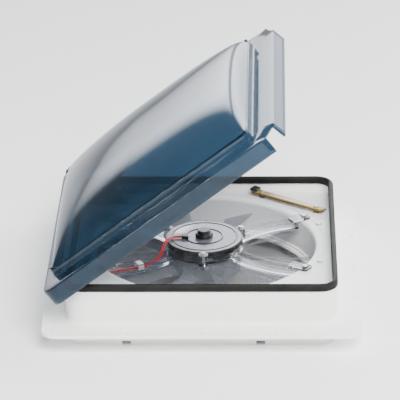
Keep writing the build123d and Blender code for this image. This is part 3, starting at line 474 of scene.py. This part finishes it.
def sharpen(piece, angle):
    # Keeps edges steeper than the angle crisp in the shading.
    piece.data.set_sharp_from_angle(angle=math.radians(angle))


def thicken(piece, wall):
    # the wall goes inwards from the surface
    modifier = piece.modifiers.new("wall", "SOLIDIFY")
    modifier.thickness = wall * mm
    modifier.offset = -1.0


def roundOver(piece, width, segments=2, angle=40.0):
    modifier = piece.modifiers.new("edges", "BEVEL")
    modifier.width = width * mm
    modifier.segments = segments
    modifier.limit_method = "ANGLE"
    modifier.angle_limit = math.radians(angle)
    modifier.harden_normals = False


loopSteps = {"corner": 14, "side": 30}


def loopCorners(halfX, halfY, corner, centreX=0.0, cut=None):
    # Rounded rectangles, one per row: each corner is a quarter circle, or a straight cut on the +X side.
    # A row's points run round once, corner by corner, with even steps on the sides between them.
    sizes = [np.asarray(value, float) for value in (halfX, halfY, corner, centreX)]
    halfX, halfY, corner, centreX = (value.reshape(-1, 1) for value in np.broadcast_arrays(*sizes))
    steps = np.linspace(0, 1, loopSteps["corner"])
    corners = []
    for index, (signX, signY) in enumerate(((1, -1), (1, 1), (-1, 1), (-1, -1))):
        angle = math.radians(-90 + 90 * index) + steps * math.pi / 2
        x = signX * (halfX - corner) + corner * np.cos(angle)
        y = signY * (halfY - corner) + corner * np.sin(angle)
        if cut is not None and signX > 0:
            share = steps if signY < 0 else 1 - steps
            x = halfX - cut[0] * (1 - share)
            y = signY * (halfY - cut[1] * share)
        corners.append(np.stack([x + centreX, np.broadcast_to(y, x.shape)], -1))
    loop = []
    between = np.linspace(0, 1, loopSteps["side"] + 2)[1:-1].reshape(1, -1, 1)
    for index, points in enumerate(corners):
        following = corners[(index + 1) % 4]
        start = points[:, -1:]
        loop += [points, start + (following[:, :1] - start) * between]
    return np.concatenate(loop, 1)


def withHeight(loops, heights):
    heights = np.broadcast_to(np.asarray(heights, float).reshape(-1, 1), loops.shape[:2])
    return np.concatenate([loops, heights[..., None]], -1)


# lid
lidHinge = joints["lid_hinge"]
lid = {
    "hinge": (lidHinge["pos_m"][0] / mm, lidHinge["pos_m"][2] / mm),
    "open": -lidHinge["range_deg"][0],
    "halfX": 188.5, "halfY": 198.0, "corner": 18.0, "cut": (12.0, 24.0),
    "ledgeTop": 66.0, "skirtLow": 42.5, "edgeRound": 2.2,
    "riserLeft": -170.5, "riserRight": 155.0, "riserHalfY": 169.0, "riserTop": 77.0, "riserCorner": 9.0,
    "bead": 1.6, "shoulder": 2.6, "crown": 34.0, "leftPower": 2.1, "rightPower": 3.3, "acrossPower": 2.3,
    "rings": 46,                           # from the riser's shoulder to the apex
    "rimPower": 46,                        # how sharply the crown starts at the shoulder
    "endDrop": 19.0, "endFlare": 12.0, "wall": 2.6,
}


def openLid(points):
    # Turns closed-pose points about the hinge to the open rest pose.
    turn = math.radians(lid["open"])
    x = points[..., 0] - lid["hinge"][0]
    z = points[..., 2] - lid["hinge"][1]
    turned = [lid["hinge"][0] + x * math.cos(turn) - z * math.sin(turn), points[..., 1],
              lid["hinge"][1] + x * math.sin(turn) + z * math.cos(turn)]
    return np.stack(turned, -1)


def quarter(count, start, end):
    return np.radians(np.linspace(start, end, count))


def makeLid():
    # Crown height is A(x) times B(y), each a superellipse arch over the riser; rings shrink
    # from the riser to the apex by the sine of even angles.
    shape = Shape()
    middle = (lid["riserLeft"] + lid["riserRight"]) / 2
    riserX = (lid["riserRight"] - lid["riserLeft"]) / 2
    riserY = lid["riserHalfY"]
    corner = lid["riserCorner"]

    # ledge, from its outer edge in to the riser, then up the riser and over its shoulder
    bead = lid["bead"]
    foot = quarter(5, 270, 180)
    crest = quarter(6, 0, 90)
    tall = lid["riserTop"] - lid["ledgeTop"]
    grow = np.concatenate([[12.0, 6.0, 2.6], bead + bead * np.cos(foot), [0.0, -0.3],
                           -0.3 - bead + bead * np.cos(crest), [-lid["shoulder"] + 0.8]])
    rise = np.concatenate([[0, 0, 0], bead + bead * np.sin(foot), [5.0, 8.6],
                           tall - bead + bead * np.sin(crest), [tall]])
    riser = withHeight(loopCorners(riserX + grow, riserY + grow, corner + grow, middle), lid["ledgeTop"] + rise)
    outer = [lid[name] - lid["edgeRound"] for name in ("halfX", "halfY", "corner")]
    edge = withHeight(loopCorners(*outer, 0.0, lid["cut"]), lid["ledgeTop"])

    # crown
    shrink = np.sin(np.radians(np.linspace(90, 3, lid["rings"])))
    base = loopCorners(riserX - lid["shoulder"], riserY - lid["shoulder"], corner - 2.0)[0]
    inner = shrink[:, None, None] * base[None]
    across = np.clip(np.abs(inner[..., 0]) / (riserX - lid["shoulder"]), 0, 1)
    along = np.clip(np.abs(inner[..., 1]) / (riserY - lid["shoulder"]), 0, 1)
    power = np.where(inner[..., 0] < 0, lid["leftPower"], lid["rightPower"])
    archX = (1 - across ** power) ** (1 / power)
    archY = (1 - along ** lid["acrossPower"]) ** (1 / lid["acrossPower"])
    blend = 1 - shrink[:, None] ** lid["rimPower"]
    height = lid["riserTop"] + lid["crown"] * archX * archY * blend
    crown = np.stack([inner[..., 0] + middle, inner[..., 1], height], -1)
    top = np.concatenate([edge, riser, crown])
    shape.grid(openLid(top), closeColumns=True)
    shape.fan(openLid(crown[-1]), openLid(np.array([[middle, 0.0, lid["riserTop"] + lid["crown"]]])))

    # skirts on three sides: over the edge round and straight down
    turn = quarter(6, 90, 0)
    out = np.concatenate([lid["edgeRound"] * (np.cos(turn) - 1), [0.0, 0.0, 0.0]])
    bend = lid["ledgeTop"] - lid["edgeRound"] * (1 - np.sin(turn))
    down = np.concatenate([bend, [57.0, 48.0, lid["skirtLow"]]])
    outer = [lid[name] + out for name in ("halfX", "halfY", "corner")]
    loops = withHeight(loopCorners(*outer, 0.0, lid["cut"]), down)
    loops[0] = edge[0]
    perSide = loopSteps["corner"] + loopSteps["side"]
    first = perSide + loopSteps["corner"] - 1
    last = 4 * perSide
    strip = np.concatenate([loops[:, first:last], loops[:, :1]], 1)
    shape.grid(openLid(strip))

    # end skirt, flared outwards
    start = loopSteps["corner"] - 1
    end = perSide + 1
    endStrip = loops[:, start:end].copy()
    drop = np.linspace(0, 1, 5)[1:]
    flare = math.tan(math.radians(lid["endFlare"]))
    rows = [endStrip[:6]]
    for share in drop:
        row = endStrip[5:6].copy()
        row[..., 0] += share * lid["endDrop"] * flare
        row[..., 2] -= share * lid["endDrop"]
        rows.append(row)
    shape.grid(openLid(np.concatenate(rows)))
    piece = shape.make("lidShell", finishes["smoke_plastic"], "lid", merge=0.02)
    thicken(piece, lid["wall"])
    sharpen(piece, 50.0)
    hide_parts("lid_dome")
    print("lid shell made")


# collar seal
seal = {"outer": 178.8, "inner": 171.4, "low": 52.5, "top": 62.5, "corner": 23.8, "bulb": 4.4}


def makeSeal():
    # The section is a closed curve of offset and height carried round the collar: a ribbed grip
    # below, a soft half ellipse above.
    width = seal["outer"] - seal["inner"]
    turn = np.radians(np.linspace(-20, 200, 15))
    bulbOut = width / 2 + (width / 2) * np.cos(turn)
    bulbUp = seal["top"] - seal["bulb"] + seal["bulb"] * np.sin(turn)
    low = seal["low"]
    grip = np.array([(0.35, 56.2), (0.0, 55.4), (0.35, 54.6), (0.0, 53.8), (0.5, low), (2.4, low), (2.4, 56.0),
                     (5.2, 56.0), (5.2, low), (width - 0.5, low), (width, 53.4), (width - 0.3, 54.3),
                     (width, 55.2), (width - 0.3, 56.1)])
    offset = np.concatenate([bulbOut, grip[:, 0]])
    height = np.concatenate([bulbUp, grip[:, 1]])
    shrink = width - offset
    loops = loopCorners(seal["outer"] - shrink, seal["outer"] - shrink, seal["corner"] - shrink)
    shape = Shape()
    shape.grid(withHeight(loops, height), closeRows=True, closeColumns=True)
    piece = shape.make("sealBulb", finishes["seal_rubber"], "base")
    sharpen(piece, 50.0)
    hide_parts("collar_seal")
    print("seal made")


# moulded CAD nodes get a rounded copy, so that their edges catch the light
softened = {
    "motor_bracket": ("bracketMoulding", "clear_plastic", 0.7),
    "motor_plate": ("plateTurned", "plate_grey", 0.5),
    "motor_boss": ("bossTurned", "black_plastic", 0.5),
    "motor_boss_cap": ("bossCapTurned", "black_plastic", 0.35),
    "motor_can": ("canDrawn", "motor_black", 0.6),
    "lead_grommet": ("grommetMoulding", "black_plastic", 0.7),
    "lead_clip": ("clipMoulding", "white_nylon", 0.5),
    "rain_sensor_plug": ("plugMoulding", "black_plastic", 0.8),
}


def softenNodes():
    bodies = {node: body for body, held in frame["record"]["behaviour"]["bodies"].items() for node in held}
    for node, (name, slot, width) in softened.items():
        mesh = nodes[node].data.copy()
        mesh.name = name
        work = bmesh.new()
        work.from_mesh(mesh)
        bmesh.ops.remove_doubles(work, verts=work.verts, dist=0.01 * mm)
        bmesh.ops.dissolve_limit(work, angle_limit=math.radians(1.0), verts=work.verts, edges=work.edges)
        work.to_mesh(mesh)
        work.free()
        mesh.materials.clear()
        mesh.materials.append(finishes[slot].material)
        mesh.polygons.foreach_set("use_smooth", np.ones(len(mesh.polygons), bool))
        piece = bpy.data.objects.new(name, mesh)
        bpy.context.scene.collection.objects.link(piece)
        sharpen(piece, 40.0)
        roundOver(piece, width)
        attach(piece, bodies[node])
        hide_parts(node)
    print("moulded pieces rounded")


# insect screen
screen = {"pitch": 2.8, "wire": 0.42, "rim": 0.6}


def bars(starts, ends, wide, high):
    # each bar is a box: the eight points are its two ends moved sideways and up by the half sizes
    run = ends - starts
    along = run / np.linalg.norm(run, axis=1, keepdims=True)
    side = np.stack([-along[:, 1], along[:, 0], np.zeros(len(along))], -1) * wide / 2
    up = np.array([0.0, 0.0, high / 2])
    corners = [starts - side - up, starts + side - up, starts + side + up, starts - side + up,
               ends - side - up, ends + side - up, ends + side + up, ends - side + up]
    points = np.stack(corners, 1)
    box = np.array([(0, 1, 2, 3), (7, 6, 5, 4), (0, 4, 5, 1), (1, 5, 6, 2), (2, 6, 7, 3), (3, 7, 4, 0)])
    faces = box[None] + 8 * np.arange(len(points))[:, None, None]
    return points.reshape(-1, 3), faces.reshape(-1, 4)


def makeScreen():
    # wires lie across the frame both ways; each one's half length is the root of the radius
    # squared less its offset squared
    low, high = (np.array(corner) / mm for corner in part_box("insect_screen"))
    radius = (high[0] - low[0]) / 2 - screen["rim"]
    offsets = np.arange(-radius + screen["pitch"] / 2, radius, screen["pitch"])
    half = np.sqrt(radius ** 2 - offsets ** 2)
    height = np.full_like(offsets, (low[2] + high[2]) / 2)
    shape = Shape()
    for swap, lift in ((False, -0.1), (True, 0.1)):
        first = [offsets, -half] if swap else [-half, offsets]
        last = [offsets, half] if swap else [half, offsets]
        starts = np.stack([*first, height + lift], -1)
        ends = np.stack([*last, height + lift], -1)
        shape.add(*bars(starts, ends, screen["wire"], screen["wire"]))
    piece = shape.make("screenWires", finishes["screen_mesh"], "base", smooth=False)
    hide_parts("insect_screen")
    print("screen made")


# rain sensor's tracks
traces = {
    "start": (67.0, 162.0), "end": (164.0, 95.0), "top": 47.8, "from": 16.0, "to": 100.0, "count": 30,
    "reach": 3.3, "wide": 1.1, "high": 0.3, "zigzag": 0.9,
    "railGap": 1.6, "railWide": 0.8, "railOver": 2.0,
}


def makeTraces():
    # ticks stand across the board at even steps along it, every other one from the other rail
    start, end = np.array(traces["start"]), np.array(traces["end"])
    along = (end - start) / np.linalg.norm(end - start)
    across = np.array([-along[1], along[0]])
    steps = np.linspace(traces["from"], traces["to"], traces["count"])
    shift = np.where(np.arange(traces["count"]) % 2 == 0, traces["zigzag"], -traces["zigzag"])
    middles = start + steps[:, None] * along + shift[:, None] * across
    height = np.full((traces["count"], 1), traces["top"] + traces["high"] / 2)
    starts = np.hstack([middles - traces["reach"] / 2 * across, height])
    ends = np.hstack([middles + traces["reach"] / 2 * across, height])
    shape = Shape()
    shape.add(*bars(starts, ends, traces["wide"], traces["high"]))
    for side in (-1, 1):
        rail = start + side * (traces["reach"] / 2 + traces["railGap"]) * across
        span = np.array([traces["from"] - traces["railOver"], traces["to"] + traces["railOver"]])
        ends = np.hstack([rail + span[:, None] * along, height[:2]])
        shape.add(*bars(ends[:1], ends[1:], traces["railWide"], traces["high"]))
    shape.make("sensorTraces", finishes["steel"], "base", smooth=False)
    print("sensor traces made")


# motor plate's rings
rings = {"top": 50.0, "each": (  # radius, width, height proud of the plate, depth sunk in it
    (25.0, 3.4, 0.9, 0.4),
    (44.5, 2.4, 0.7, 0.4),
    (51.2, 2.2, 0.3, 3.4),
)}


def makeRings():
    # each ring is an ellipse's profile carried round the plate's middle; its lower half lies in the plate
    shape = Shape()
    turn = np.radians(np.arange(0, 360, 2.5))[:, None]
    bulge = np.radians(np.arange(0, 360, 20))[None, :]
    for radius, wide, proud, sunk in rings["each"]:
        reach = radius + np.cos(bulge) * wide / 2
        height = rings["top"] - sunk + np.sin(bulge) * (proud + sunk) + 0 * turn
        shape.grid(np.stack([reach * np.cos(turn), reach * np.sin(turn), height], -1), True, True)
    piece = shape.make("plateRingBeads", finishes["black_plastic"], "base")
    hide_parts("motor_plate_rings")
    print("plate rings made")


# build
makeCamera()
makeStudio()
dressNodes()
makeLid()
makeSeal()
softenNodes()
makeScreen()
makeTraces()
makeRings()
